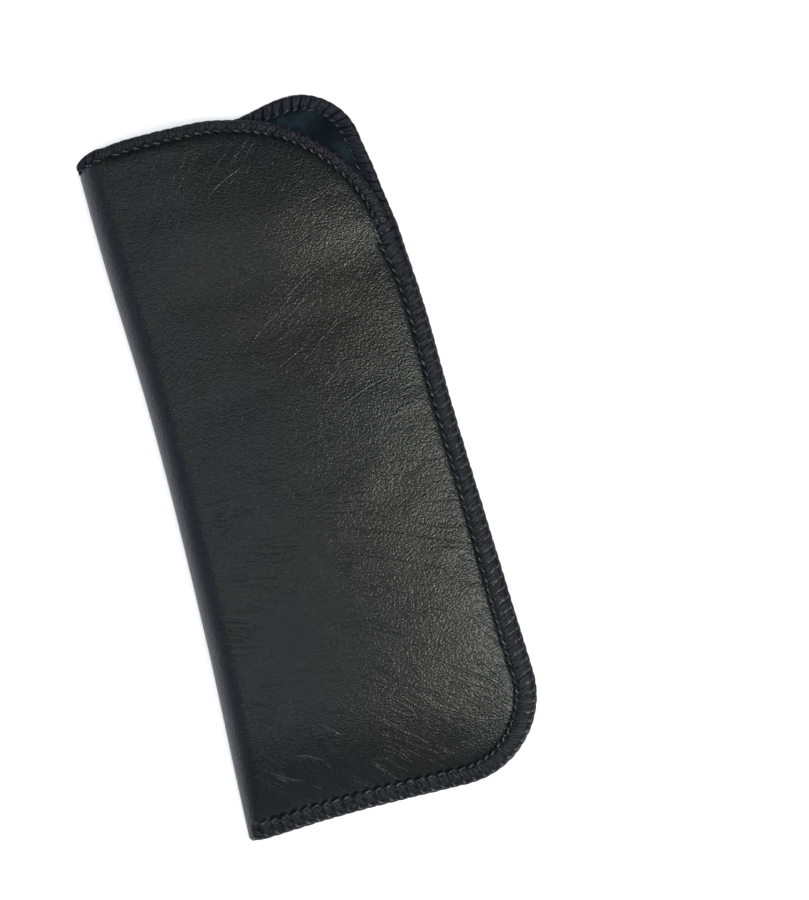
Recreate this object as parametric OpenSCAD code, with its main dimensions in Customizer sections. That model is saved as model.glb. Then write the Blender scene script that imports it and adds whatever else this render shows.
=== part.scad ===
// Soft slip-in glasses case: one padded laminate blank, folded along its left edge and overlocked.
// It lies on its back. +X runs from the fold to the closing seam, +Y from the bottom seam to the
// mouth, and +Z from the back panel to the front panel.

/* [Case] */
// Length, from the bottom seam to the top of the back lobe
case_length = 165; // [155:1:175]
// Width at the bottom, from the fold to the outside of the closing seam
case_width = 74; // [70:1:78]
// Height of the empty case along its fold, lying on its back
case_height = 13; // [12:0.5:16]
// How far the fold bows inwards at half its length
fold_bow = 2.2; // [0:0.2:3]
// Radius of the rounded bottom corner
corner_radius = 21; // [18:0.5:24]

/* [Mouth] */
// Length, from the bottom seam to the level edge of the mouth
mouth_length = 163.5; // [160:0.5:164.5]
// Height at which the closing seam ends and the mouth begins
seam_end = 131; // [124:1:136]
// Width of the case where the closing seam ends
seam_end_width = 68.6; // [67:0.2:70]
// How far the back lobe leans inwards per millimetre above the closing seam
lobe_lean = 0.175; // [0.1:0.025:0.25]
// Radius of the back lobe's corner
lobe_radius = 13; // [10:0.5:16]
// Radius of the front lip's curved edge
lip_radius = 38.5; // [36:0.5:41]
// How far the mouth gapes where the front lip is free
lip_lift = 1.2; // [1:0.1:2]

/* [Layers] */
// Thickness of the outer cover
cover_thickness = 0.8; // [0.7:0.05:0.9]
// Thickness of the foam padding
foam_thickness = 1.4; // [1:0.1:1.6]
// Thickness of the velour lining
lining_thickness = 0.6; // [0.4:0.05:0.6]

/* [Stitching] */
// Width of the overlock along the closing seam
closing_band = 4.4; // [3.6:0.2:5]
// Width of the overlock along the mouth
mouth_band = 3.4; // [2.8:0.2:4]
// Thickness of a layer of thread
thread_thickness = 0.28; // [0.2:0.02:0.3]
// Width of the line of needle stitches
needle_width = 0.5; // [0.4:0.05:0.6]

/* [Hidden] */

leather_colour = [0.13, 0.13, 0.135];
foam_colour = [0.16, 0.16, 0.165];
lining_colour = [0.09, 0.13, 0.19];
thread_colour = [0.08, 0.085, 0.1];

// Depths of the layers below the outer face
cover_inner = cover_thickness;
foam_inner = cover_inner + foam_thickness;
lining_inner = foam_inner + lining_thickness;

// The two panels lie on each other at the closing seam, a tenth of a millimetre apart
seam_height = 2 * lining_inner + 0.1;
// The laminate's raw edge lies this far inside the thread that binds it
raw_inset = 0.5;
// Gap between a layer of thread and the sheet that it lies on
thread_gap = 0.15;
// The cover is pressed in this far where thread crosses the side that rests on the table
relief = thread_gap + thread_thickness;
// Slack that stands for the bend between the fixed panel and the lip
hinge_gap = 0.3;
// The front's edge steps in from the back's over this length below the lip
step_length = 15;

// The flat stretch of the back panel starts here
flat_start = fold_bow + case_height / 2 + 1;
// The seam pinches the case over this length from the bottom
pinch_length = 30;
// The fold's end is pulled in this far where the mouth's thread crosses it
fold_end_dip = 1.5;
// Where the curve of the lip starts and where the lip meets the closing seam
lip_start_x = flat_start - 2;
lip_centre_y = mouth_length - lip_radius;
lip_end_x = seam_end_width - 1.6;
lip_end_angle = asin((seam_end - lip_centre_y) / lip_radius);
lip_centre_x = lip_end_x - lip_radius * cos(lip_end_angle);
lip_level = lip_centre_x - lip_start_x;
lip_arc = lip_radius * (90 - lip_end_angle) * PI / 180;
// Bend line of the lip, from the mouth's edge at the fold to the top of the closing seam
bend_start = [lip_start_x, mouth_length];
bend_end = [lip_end_x, seam_end];
bend_way = (bend_end - bend_start) / norm(bend_end - bend_start);
bend_out = [-bend_way.y, bend_way.x];

// Steps of the sheets: round the fold, across the front, and across the lip
fold_steps = 8;
front_steps = 9;
lip_steps = 14;
lip_rows = 4;

function blend(a, b, t) = a + (b - a) * t;
function smooth(t) = let (c = max(0, min(1, t))) c * c * (3 - 2 * c);

// Outline of the back panel, which is also that of the closing seam

// Outer edge of the right side at height y
function side_x(y) = y < seam_end
    ? blend(case_width, seam_end_width, (y - corner_radius) / (seam_end - corner_radius))
    : seam_end_width - lobe_lean * (y - seam_end);
corner_centre_x = case_width - corner_radius;
// The same with the rounded bottom corner, moved in by inset
function edge_x(y, inset) = y < corner_radius
    ? corner_centre_x + sqrt(max(0, (corner_radius - inset) ^ 2 - (corner_radius - y) ^ 2))
    : side_x(y) - inset;
lobe_centre_y = case_length - lobe_radius;
lobe_centre_x = side_x(lobe_centre_y) - lobe_radius;
// Outer edge of the mouth on the back panel at x: level, then rising to the lobe
lobe_rise_start = 34;
function mouth_y(x) =
    blend(mouth_length - 0.3, case_length, smooth((x - lobe_rise_start) / (lobe_centre_x - lobe_rise_start)));

// Points of the back panel's outline from the bottom to the mouth, moved in by inset
function back_outline(inset, left) = concat(
    [[left, inset]],
    [for (a = [0:10:90])
        [corner_centre_x + (corner_radius - inset) * sin(a), corner_radius - (corner_radius - inset) * cos(a)]],
    [[side_x(seam_end) - inset, seam_end]],
    [for (a = [0:10:90])
        [lobe_centre_x + (lobe_radius - inset) * cos(a), lobe_centre_y + (lobe_radius - inset) * sin(a)]],
    [for (k = [1:6])
        let (x = blend(lobe_centre_x, lobe_rise_start, k / 6)) [x, mouth_y(x) - inset]],
    [[left, mouth_y(left) - inset]]
);

// The folded surface

// Leftmost point of the fold at height y, with room for the thread that wraps it
function fold_x(y) = relief + fold_bow * 4 * (y / mouth_length) * (1 - y / mouth_length);
// Height of the fold, pinched by the bottom seam
function fold_height(y) =
    seam_height + (case_height - seam_height) * (1 - max(0, 1 - y / pinch_length) ^ 2.2);
// Height of the front panel: level at the fold, falling to the closing seam
function front_height(x, y) =
    let (
        left = fold_x(y) + fold_height(y) / 2,
        u = max(0, min(1, (x - left) / (side_x(y) - left))),
        gape = lip_lift * smooth((y - seam_end + 4) / 12) * smooth(u / 0.3)
    )
    seam_height + (fold_height(y) - seam_height) * (1 - u ^ 2.4) + gape;

// Rows of the fixed sheets as heights, for a column that reaches up to top
rows = [raw_inset, closing_band, closing_band + 0.6, 9, 13, 18, 24, 34, 50, 70, 90, 110, 130];
top_rows = [mouth_band + 0.6, mouth_band, raw_inset];
row_count = len(rows) + len(top_rows);
function row_y(k, top) = k < len(rows)
    ? rows[k] * (k < 3 ? 1 : (top - raw_inset) / (mouth_length - raw_inset))
    : top - top_rows[k - len(rows)];
function in_band(k) = k < 2 || k > row_count - 3;

// Edge of the mouth round the fold, pulled in at its apex
function fold_top(angle) = mouth_length - 0.3 - fold_end_dip * sin(angle) ^ 2;
// How far thread sinks into the cover: fully on the table side of the fold, not at all on the front
function sink(angle) = relief * (1 - smooth((angle - 60) / 90));

// A point of the fold at an angle from the table side, at row k and below the outer face by depth
function fold_point(angle, k, depth) =
    let (
        y = row_y(k, fold_top(angle)),
        r = fold_height(y) / 2,
        d = max(depth, in_band(k) ? sink(angle) : 0)
    )
    [fold_x(y) + r - (r - d) * sin(angle), y, r - (r - d) * cos(angle)];

// Right-hand edge of the front sheet, which steps in where the lip begins
function front_edge_x(y) =
    edge_x(y, raw_inset) - (side_x(seam_end) - lip_end_x) * smooth((y - seam_end + step_length) / step_length);
// A point of the front panel at the fraction u of its width
function front_point(u, k, depth) =
    let (
        top = blend(bend_start.y, bend_end.y, u) - hinge_gap / bend_out.y,
        y = k == row_count - 1 ? top : min(row_y(k, top), top - 0.4),
        left = fold_x(y) + fold_height(y) / 2,
        x = blend(left, max(left + 1, front_edge_x(y)), u)
    )
    [x, y, front_height(x, y) - depth];

// All columns of the fixed sheet at row k: flat start, round the fold, and across the front
function sheet_row(k, depth) = concat(
    [let (p = fold_point(0, k, depth)) [flat_start, p.y, p.z]],
    [for (j = [0:fold_steps]) fold_point(180 * j / fold_steps, k, depth)],
    [for (j = [1:front_steps]) front_point(j / front_steps, k, depth)]
);

// A closed solid between two grids of points with the same rows and columns
module slab_between(outer, inner) {
    n = len(outer);
    m = len(outer[0]);
    points = concat([for (row = outer) each row], [for (row = inner) each row]);
    function at(i, j) = i * m + j;
    function under(i, j) = n * m + i * m + j;
    // Four corners of a quad, clockwise as seen from outside, as two triangles
    function quad(a, b, c, d) = [[a, b, c], [a, c, d]];
    faces = concat(
        [for (i = [0:n - 2], j = [0:m - 2])
            each quad(at(i, j), at(i + 1, j), at(i + 1, j + 1), at(i, j + 1))],
        [for (i = [0:n - 2], j = [0:m - 2])
            each [[under(i, j), under(i + 1, j + 1), under(i + 1, j)],
                  [under(i, j), under(i, j + 1), under(i + 1, j + 1)]]],
        [for (i = [0:n - 2])
            each concat(
                quad(at(i, 0), under(i, 0), under(i + 1, 0), at(i + 1, 0)),
                quad(at(i, m - 1), at(i + 1, m - 1), under(i + 1, m - 1), under(i, m - 1))
            )],
        [for (j = [0:m - 2])
            each concat(
                quad(at(0, j), at(0, j + 1), under(0, j + 1), under(0, j)),
                quad(at(n - 1, j), under(n - 1, j), under(n - 1, j + 1), at(n - 1, j + 1))
            )]
    );
    polyhedron(points, faces, convexity = 6);
}

// The folded sheet between two depths: fold and front
module folded_sheet(outer_depth, inner_depth) {
    slab_between(
        [for (k = [0:row_count - 1]) sheet_row(k, outer_depth)],
        [for (k = [0:row_count - 1]) sheet_row(k, inner_depth)]
    );
}

// The flat back panel between two heights
module back_sheet(low, high, inset) {
    translate([0, 0, low])
        linear_extrude(high - low)
            polygon(back_outline(inset, flat_start));
}

// The lip

// Edge of the lip at the fraction t of its length, moved in by inset: x, y and the way outwards
function lip_edge(t, inset) =
    let (s = t * (lip_level + lip_arc))
    s < lip_level
        ? [lip_start_x + s, mouth_length - inset, 0, 1]
        : let (a = 90 - (s - lip_level) / lip_radius * 180 / PI)
          [lip_centre_x + (lip_radius - inset) * cos(a), lip_centre_y + (lip_radius - inset) * sin(a),
           cos(a), sin(a)];
lip_margin = 0.05;
function lip_point(t, w, depth) =
    let (
        e = lip_edge(t, raw_inset),
        c = blend(bend_start, bend_end, t) + hinge_gap * bend_out,
        p = blend(c, [e.x, e.y], w)
    )
    [p.x, p.y, front_height(p.x, p.y) - depth];
function lip_row(i, depth) =
    [for (j = [0:lip_steps]) lip_point(blend(lip_margin, 1 - lip_margin, j / lip_steps), i / lip_rows, depth)];
module lip_sheet(outer_depth, inner_depth) {
    slab_between(
        [for (i = [0:lip_rows]) lip_row(i, outer_depth)],
        [for (i = [0:lip_rows]) lip_row(i, inner_depth)]
    );
}

// Bands of thread: a station is [edge point, way into the sheet, way out of the face, band width],
// and a section point is [offset, share of the band width, height above the face]

module band(stations, section) {
    n = len(stations);
    m = len(section);
    points = [for (s = stations, q = section) s[0] + s[1] * (q[0] + q[1] * s[3]) + s[2] * q[2]];
    sides = [for (i = [0:n - 2], j = [0:m - 1])
        each let (a = i * m + j, b = i * m + (j + 1) % m) [[a, b, b + m], [a, b + m, a + m]]];
    polyhedron(
        points,
        concat([[for (j = [m - 1:-1:0]) j]], sides, [[for (j = [0:m - 1]) (n - 1) * m + j]]),
        convexity = 8
    );
}

lift = thread_gap;
crown = thread_gap + thread_thickness;
wall = raw_inset - 0.1;
// Thread that covers the outer face and the outer half of the raw edge, on a stack of a given height
function outer_thread(stack) = [
    [0, 0, 0.05 - stack / 2], [wall, 0, 0.05 - stack / 2], [wall, 0, lift],
    [-needle_width - 0.1, 1, lift], [-needle_width - 0.1, 1, crown], [0, 0, crown]
];
// Thread that covers the inner face of one laminate and the inner half of its raw edge
inner_thread = [
    [0, 0, -lining_inner - crown], [0, 1, -lining_inner - crown], [0, 1, -lining_inner - lift],
    [wall, 0, -lining_inner - lift], [wall, 0, -0.05 - (lining_inner + relief) / 2],
    [0, 0, -0.05 - (lining_inner + relief) / 2]
];
// Line of needle stitches on the outer face
needle_line = [
    [-needle_width, 1, lift], [0, 1, lift], [0, 1, crown], [-needle_width, 1, crown]
];

// Station on the front panel at a point p of the edge, where the outward way is n
function front_station(p, n, width) =
    let (
        q = p - n * width,
        z = front_height(p.x, p.y),
        rise = (front_height(q.x, q.y) - z) / width
    )
    [[p.x, p.y, z], [-n.x, -n.y, rise], [0, 0, 1], width];

// Edge of the closing seam, from the fold along the bottom and up the right side: points and ways out
closing_start_x = 4;
closing_stop_y = seam_end - 2.5;
closing_corner = concat(
    [for (k = [0:5]) [[blend(closing_start_x, corner_centre_x, k / 5), 0], [0, -1]]],
    [for (a = [10:10:90])
        [[corner_centre_x + corner_radius * sin(a), corner_radius - corner_radius * cos(a)], [sin(a), -cos(a)]]]
);
closing_heights = concat(
    [for (k = [1:6]) blend(corner_radius, seam_end - step_length, k / 6)],
    [for (k = [1:4]) blend(seam_end - step_length, closing_stop_y, k / 4)]
);
closing_front_path = concat(closing_corner, [for (y = closing_heights) [[front_edge_x(y) + raw_inset, y], [1, 0]]]);
closing_back_path = concat(closing_corner, [for (y = closing_heights) [[side_x(y), y], [1, 0]]]);
closing_stations = [for (k = [len(closing_front_path) - 1:-1:0])
    front_station(closing_front_path[k][0], closing_front_path[k][1], closing_band)];
// The same seam on the back panel, whose outer face looks down at the height of the relief
closing_back_stations = [for (s = closing_back_path)
    [[s[0].x, s[0].y, relief], [-s[1].x, -s[1].y, 0], [0, 0, -1], closing_band]];

// The mouth's edge on the back panel, from the closing seam over the lobe to the fold, and round the fold
mouth_path = concat(
    [for (k = [0:3])
        let (y = blend(seam_end + 1, lobe_centre_y, k / 3)) [[side_x(y), y], [1, 0]]],
    [for (a = [10:10:90])
        [[lobe_centre_x + lobe_radius * cos(a), lobe_centre_y + lobe_radius * sin(a)], [cos(a), sin(a)]]],
    [for (k = [1:6])
        let (x = blend(lobe_centre_x, lobe_rise_start, k / 6)) [[x, mouth_y(x)], [0, 1]]],
    [[[flat_start, mouth_y(flat_start)], [0, 1]]]
);
// share is 1 for thread on the outer face, which sinks into it, and 0 for thread on the lining
function mouth_stations(share) = concat(
    [for (s = mouth_path)
        [[s[0].x, s[0].y, share * relief], [-s[1].x, -s[1].y, 0], [0, 0, -1], mouth_band]],
    [for (j = [0:fold_steps])
        let (
            angle = 180 * j / fold_steps,
            y = fold_top(angle),
            r = fold_height(y) / 2,
            d = share * sink(angle)
        )
        [[fold_x(y) + r - (r - d) * sin(angle), y, r - (r - d) * cos(angle)],
         [0, -1, 0], [-sin(angle), 0, -cos(angle)], mouth_band]]
);

// The lip's edge, with a band that narrows where it runs into the bend line
lip_thread_margin = 0.08;
lip_stations = [for (j = [0:lip_steps])
    let (
        t = blend(lip_thread_margin, 1 - lip_thread_margin, j / lip_steps),
        e = lip_edge(t, 0),
        c = blend(bend_start, bend_end, t),
        room = norm([e.x, e.y] - c) - 1
    )
    front_station([e.x, e.y], [e[2], e[3]], min(mouth_band, room))];

// Every part is placed so that the case is centred on the origin and rests on the XY plane
module placed() {
    translate([-case_width / 2, -case_length / 2, 0])
        children();
}

module outer_cover() {
    color(leather_colour) placed() {
        folded_sheet(0, cover_inner);
        back_sheet(relief, cover_inner, raw_inset);
        back_sheet(0, cover_inner, closing_band + 0.4);
    }
}

module foam_padding() {
    color(foam_colour) placed() {
        folded_sheet(cover_inner, foam_inner);
        back_sheet(cover_inner, foam_inner, raw_inset);
    }
}

module lining() {
    color(lining_colour) placed() {
        folded_sheet(foam_inner, lining_inner);
        back_sheet(foam_inner, lining_inner, raw_inset);
    }
}

module closing_needle_thread() {
    color(thread_colour) placed()
        band(closing_stations, needle_line);
}

module closing_upper_looper_thread() {
    color(thread_colour) placed()
        band(closing_stations, outer_thread(seam_height - relief));
}

module closing_lower_looper_thread() {
    color(thread_colour) placed()
        band(closing_back_stations, outer_thread(seam_height - relief));
}

module mouth_needle_thread() {
    color(thread_colour) placed()
        band(mouth_stations(1), needle_line);
}

module mouth_upper_looper_thread() {
    color(thread_colour) placed()
        band(mouth_stations(1), outer_thread(lining_inner - relief));
}

module mouth_lower_looper_thread() {
    color(thread_colour) placed()
        band(mouth_stations(0), inner_thread);
}

module lip_cover() {
    color(leather_colour) placed()
        lip_sheet(0, cover_inner);
}

module lip_foam() {
    color(foam_colour) placed()
        lip_sheet(cover_inner, foam_inner);
}

module lip_lining() {
    color(lining_colour) placed()
        lip_sheet(foam_inner, lining_inner);
}

module lip_needle_thread() {
    color(thread_colour) placed()
        band(lip_stations, needle_line);
}

module lip_upper_looper_thread() {
    color(thread_colour) placed()
        band(lip_stations, outer_thread(lining_inner));
}

module lip_lower_looper_thread() {
    color(thread_colour) placed()
        band(lip_stations, inner_thread);
}

outer_cover();
foam_padding();
lining();
closing_needle_thread();
closing_upper_looper_thread();
closing_lower_looper_thread();
mouth_needle_thread();
mouth_upper_looper_thread();
mouth_lower_looper_thread();
lip_cover();
lip_foam();
lip_lining();
lip_needle_thread();
lip_upper_looper_thread();
lip_lower_looper_thread();
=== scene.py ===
"""Soft slip-in glasses case: a padded vinyl blank folded once and overlocked with three threads a run."""

import math

import bpy
import numpy as np
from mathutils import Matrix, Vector


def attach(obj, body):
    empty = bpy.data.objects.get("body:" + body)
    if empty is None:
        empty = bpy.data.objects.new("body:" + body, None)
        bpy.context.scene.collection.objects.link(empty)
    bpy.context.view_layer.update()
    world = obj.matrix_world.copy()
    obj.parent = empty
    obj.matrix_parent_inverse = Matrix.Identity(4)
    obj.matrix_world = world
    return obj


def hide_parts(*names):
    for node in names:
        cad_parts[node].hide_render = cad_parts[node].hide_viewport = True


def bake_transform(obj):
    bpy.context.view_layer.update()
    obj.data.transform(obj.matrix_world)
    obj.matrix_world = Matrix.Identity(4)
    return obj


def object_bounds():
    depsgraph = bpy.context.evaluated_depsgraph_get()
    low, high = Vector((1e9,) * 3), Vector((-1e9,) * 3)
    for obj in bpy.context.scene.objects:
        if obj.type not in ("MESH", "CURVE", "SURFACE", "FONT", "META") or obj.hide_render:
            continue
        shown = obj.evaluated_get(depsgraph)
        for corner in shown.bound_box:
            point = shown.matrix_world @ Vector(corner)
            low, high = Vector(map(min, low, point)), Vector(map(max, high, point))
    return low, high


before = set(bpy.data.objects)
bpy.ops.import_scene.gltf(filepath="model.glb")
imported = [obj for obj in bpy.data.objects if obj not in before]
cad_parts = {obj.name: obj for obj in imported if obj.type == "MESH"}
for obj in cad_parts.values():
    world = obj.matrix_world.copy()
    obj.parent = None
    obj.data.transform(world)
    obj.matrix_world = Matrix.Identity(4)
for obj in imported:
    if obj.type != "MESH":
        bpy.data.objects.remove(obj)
cad_low, cad_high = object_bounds()

# Sizes in millimetres. Part coordinates have their origin at the bottom of the fold, as in the CAD
# model: x runs to the closing seam, y to the mouth and z from the back panel to the front panel.
# ------------------------
MM = 0.001
LENGTH = 2 * cad_high.y / MM
WIDTH = 2 * cad_high.x / MM
CASE_HEIGHT = 13.0
FOLD_BOW = 2.2
CORNER_R = 21.0
MOUTH_Y = 163.5
SEAM_END = 131.0
SEAM_END_X = 68.6
LOBE_LEAN = 0.175
LOBE_R = 13.0
LIP_R = 38.5
LIP_LIFT = 1.2
LOBE_RISE_X = 34.0

COVER_IN = 0.8
FOAM_IN = 2.2
LAMINATE = 2.8
SEAM_HEIGHT = 2 * LAMINATE + 0.1
RAW_INSET = 0.25
FOAM_INSET = 0.8
RELIEF = 0.43
SKIN_GAP = 0.02
FAR = 99.0
PINCH = 30.0
FOLD_END_DIP = 1.5
STEP_LENGTH = 15.0
LIP_STEP = 1.6
# The front's level edge lies this much lower at the fold, and reaches its full height over this length
LEVEL_DROP = 0.3
LEVEL_REACH = 6.0

FLAT_START = FOLD_BOW + CASE_HEIGHT / 2 + 1
LIP_START_X = FLAT_START - 2
LIP_CY = MOUTH_Y - LIP_R
LIP_END_X = SEAM_END_X - LIP_STEP
LIP_END_ANGLE = math.asin((SEAM_END - LIP_CY) / LIP_R)
LIP_CX = LIP_END_X - LIP_R * math.cos(LIP_END_ANGLE)
CORNER_CX = WIDTH - CORNER_R
LOBE_CY = LENGTH - LOBE_R

MOUTH_BAND = 2.1
LOBE_BAND = 2.8
NEEDLE_OFFSET = 0.40
THREAD_RISE = 0.45
MOUTH_PITCH = 2.4
CLOSING_PITCH = 2.5
CLOSING_START = 2.6

rng = np.random.default_rng(7)


# Small helpers
# ------------------------
def mix(a, b, t):
    return a + (b - a) * t


def smooth(t):
    t = np.clip(t, 0, 1)
    return t * t * (3 - 2 * t)


def ways(curve):
    """Distance along a polyline to each of its points."""
    return np.concatenate([[0], np.cumsum(np.linalg.norm(np.diff(curve, axis=0), axis=1))])


# Hand-guided sewing lets the outline wander by up to a millimetre: direction moved, amount, and the
# centre and reach of the stretch that moves, in part coordinates
WANDER = [
    ("y", 0.30, (18, 11), (168, 16)),
    ("y", -0.35, (38.5, 5), (168, 12)),
    ("y", 0.40, (51, 6.5), (168, 14)),
    ("x", 0.65, (72, 14), (148, 10)),
    ("y", -0.90, (1, 13), (0, 16)),
    ("y", 0.22, (34, 14), (0, 12)),
    ("x", -0.85, (0, 26), (138, 28)),
    ("x", 0.70, (72, 16), (110, 17)),
]


def wander(points):
    """Moves points by the unevenness of the sewing."""
    x, y = points[..., 0].copy(), points[..., 1].copy()
    moved = points.copy()
    for axis, amount, (cx, wx), (cy, wy) in WANDER:
        weight = np.exp(-(((x - cx) / wx) ** 2) - ((y - cy) / wy) ** 2)
        moved[..., 0 if axis == "x" else 1] += amount * weight
    return moved


def to_scene(points):
    """Part coordinates in millimetres to scene coordinates in metres."""
    return (wander(np.asarray(points, float)) - np.array([WIDTH / 2, LENGTH / 2, 0])) * MM


class Noise:
    """Smooth value noise over the plane, on a seeded lattice."""

    def __init__(self, cell_x, cell_y):
        self.cell = (cell_x, cell_y)
        self.table = rng.uniform(-1, 1, (64, 64))

    def __call__(self, x, y):
        u, v = x / self.cell[0] + 17.3, y / self.cell[1] + 9.1
        i, j = np.floor(u).astype(int), np.floor(v).astype(int)
        fu, fv = smooth(u - i), smooth(v - j)
        at = lambda a, b: self.table[a % 64, b % 64]
        low = mix(at(i, j), at(i + 1, j), fu)
        high = mix(at(i, j + 1), at(i + 1, j + 1), fu)
        return mix(low, high, fv)


# The case's outline and its folded surface, as in the CAD model
# ------------------------
def side_x(y):
    below = mix(WIDTH, SEAM_END_X, (y - CORNER_R) / (SEAM_END - CORNER_R))
    return np.where(y < SEAM_END, below, SEAM_END_X - LOBE_LEAN * (y - SEAM_END))


LOBE_CX = float(side_x(LOBE_CY)) - LOBE_R


def mouth_y(x):
    """Outer edge of the mouth on the back panel."""
    return mix(MOUTH_Y - LEVEL_DROP, LENGTH, smooth((x - LOBE_RISE_X) / (LOBE_CX - LOBE_RISE_X)))


def lip_step(y):
    """How far the front's edge steps in from the back's, towards the top of the closing seam."""
    return LIP_STEP * smooth((y - SEAM_END + STEP_LENGTH) / STEP_LENGTH)


def fold_x(y):
    return RELIEF + FOLD_BOW * 4 * (y / MOUTH_Y) * (1 - y / MOUTH_Y)


def fold_height(y):
    pinch = np.clip(1 - y / PINCH, 0, 1) ** 2.2
    return SEAM_HEIGHT + (CASE_HEIGHT - SEAM_HEIGHT) * (1 - pinch)


def fold_top(angle):
    return MOUTH_Y - LEVEL_DROP - FOLD_END_DIP * np.sin(angle) ** 2


def sink(angle):
    """How far thread sinks into the cover on the side of the fold that rests on the table."""
    return RELIEF * (1 - smooth((np.degrees(angle) - 60) / 90))


def rounded(x, y, radius, centre_x, centre_y, above, straight):
    """Distance inwards from an edge with a rounded corner, given its distance where it is straight."""
    beyond = y > centre_y if above else y < centre_y
    corner = radius - np.hypot(x - centre_x, y - centre_y)
    return np.where((x > centre_x) & beyond, corner, straight)


def closing_distance(x, y):
    """Distance inwards from the outer edge of the closing seam's thread, on the front panel."""
    straight = np.minimum(y, side_x(y) - lip_step(y) - x)
    return rounded(x, y, CORNER_R, CORNER_CX, CORNER_R, False, straight)


def lip_distance(x, y):
    """Distance inwards from the outer edge of the lip's thread."""
    return rounded(x, y, LIP_R, LIP_CX, LIP_CY, True, MOUTH_Y - y)


def back_mouth_distance(x, y):
    """Distance inwards from the outer edge of the mouth's thread, on the back panel."""
    side = np.where(y > SEAM_END, side_x(y) - x, FAR)
    return rounded(x, y, LOBE_R, LOBE_CX, LOBE_CY, True, np.minimum(mouth_y(x) - y, side))


def back_closing_distance(x, y):
    side = np.where(y < SEAM_END, side_x(y) - x, FAR)
    return rounded(x, y, CORNER_R, CORNER_CX, CORNER_R, False, np.minimum(y, side))


def corner_turn(x, y):
    """How far round the bottom corner a point lies, from 0 on the bottom to 1 on the side."""
    turn = np.arctan2(x - CORNER_CX, np.maximum(CORNER_R - y, 1e-6)) / (math.pi / 2)
    return np.where(y < CORNER_R, np.clip(turn, 0, 1), np.where(x > CORNER_CX, 1, 0))


def closing_band(x, y):
    """Width of the closing overlock: it spreads round the bottom corner."""
    turn = corner_turn(x, y)
    return 3.5 - 0.2 * turn + 0.8 * smooth(turn * 1.6) * (1 - smooth((y - 28) / 45))


def closing_way(x, y):
    """Distance along the closing run of the stitch that lies nearest to a point."""
    start = CORNER_CX - CLOSING_START
    round_corner = start + CORNER_R * corner_turn(x, y) * math.pi / 2
    up_side = start + CORNER_R * math.pi / 2 + (y - CORNER_R)
    straight = np.where(x < CORNER_CX, x - CLOSING_START, round_corner)
    return np.where((y > CORNER_R) & (x > CORNER_CX), up_side, straight)


def lip_way(x, y):
    """Distance along the lip's stitches from the place where its edge starts to curve."""
    turn = np.arctan2(x - LIP_CX, np.maximum(y - LIP_CY, 1e-6))
    return np.where(x > LIP_CX, LIP_R * turn, x - LIP_CX)


soft_wave = Noise(17, 23)
fine_wave = Noise(7, 9)
pucker_wave = Noise(9, 3.6)
edge_wave = Noise(30, 5.2)


def puff(a, y):
    """Slow unevenness of the padded laminate, where a is the way round the section."""
    return 0.15 * soft_wave(a, y) + 0.04 * fine_wave(a, y)


class Settled:
    """How the padded front lies once its sewn-in fullness has settled: cloth on a square grid, held
    still at the fold and along the seams. Its lift is nothing until settle() has run."""

    STEP = 2.0
    FRAMES = 20
    CAP = 0.4
    EASE = 0.45
    # A negative shrink is the fullness: the cover has that share more cloth than it needs
    CLOTH = dict(
        quality=6, mass=0.02, tension_stiffness=30, compression_stiffness=30, shear_stiffness=15,
        bending_stiffness=10, vertex_group_mass="held", shrink_min=-0.0008, use_pressure=True,
        uniform_pressure_force=6.0,
    )

    def __init__(self):
        self.xs = np.arange(0, 80, self.STEP)
        self.ys = np.arange(-4, 172, self.STEP)
        self.table = np.zeros((len(self.ys), len(self.xs)))

    def lift(self, x, y):
        """Cubic B-spline through the grid, so that the shading shows no cells."""
        u, v = (x - self.xs[0]) / self.STEP, (y - self.ys[0]) / self.STEP
        i, j = np.floor(u).astype(int), np.floor(v).astype(int)
        fu, fv = u - i, v - j
        total = np.zeros_like(u)
        for b, wb in enumerate(self._weights(fv)):
            row = np.clip(j + b - 1, 0, len(self.ys) - 1)
            for a, wa in enumerate(self._weights(fu)):
                total = total + wa * wb * self.table[row, np.clip(i + a - 1, 0, len(self.xs) - 1)]
        return total

    @staticmethod
    def _weights(t):
        t2, t3 = t**2, t**3
        return ((1 - t) ** 3 / 6, (3 * t3 - 6 * t2 + 4) / 6, (-3 * t3 + 3 * t2 + 3 * t + 1) / 6, t3 / 6)

    def settle(self):
        x, y = np.meshgrid(self.xs, self.ys)
        height = front_height(x, y)
        from_seam = np.minimum(closing_distance(x, y), lip_distance(x, y))
        from_fold = x - fold_x(y) - fold_height(y) / 2
        free = smooth((np.minimum(from_seam, from_fold + 3) - 4) / 5)
        n, m = x.shape
        ids = np.arange(n * m).reshape(n, m)
        faces = np.stack([ids[:-1, :-1], ids[:-1, 1:], ids[1:, 1:], ids[1:, :-1]], 2).reshape(-1, 4)
        points = np.stack([x, y, height], 2).reshape(-1, 3) * MM
        cloth = mesh_object("settling", points, faces)
        held = cloth.vertex_groups.new(name="held")
        for index, weight in enumerate((1 - free).ravel()):
            held.add([index], float(weight), "REPLACE")
        modifier = cloth.modifiers.new("Cloth", "CLOTH")
        for key, value in self.CLOTH.items():
            setattr(modifier.settings, key, value)
        modifier.settings.effector_weights.gravity = 0
        modifier.point_cache.frame_start, modifier.point_cache.frame_end = 1, self.FRAMES
        scene = bpy.context.scene
        for frame_number in range(1, self.FRAMES + 1):
            scene.frame_set(frame_number)
        shape = cloth.evaluated_get(bpy.context.evaluated_depsgraph_get()).data
        moved = np.array([vertex.co.z for vertex in shape.vertices]) / MM
        scene.frame_set(1)
        mesh = cloth.data
        bpy.data.objects.remove(cloth)
        bpy.data.meshes.remove(mesh)
        # The foam behind the cover takes up part of the lift
        lift = self.EASE * (moved.reshape(n, m) - height)
        self.table = self.CAP * np.tanh(lift / self.CAP) * free


settled = Settled()


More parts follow.
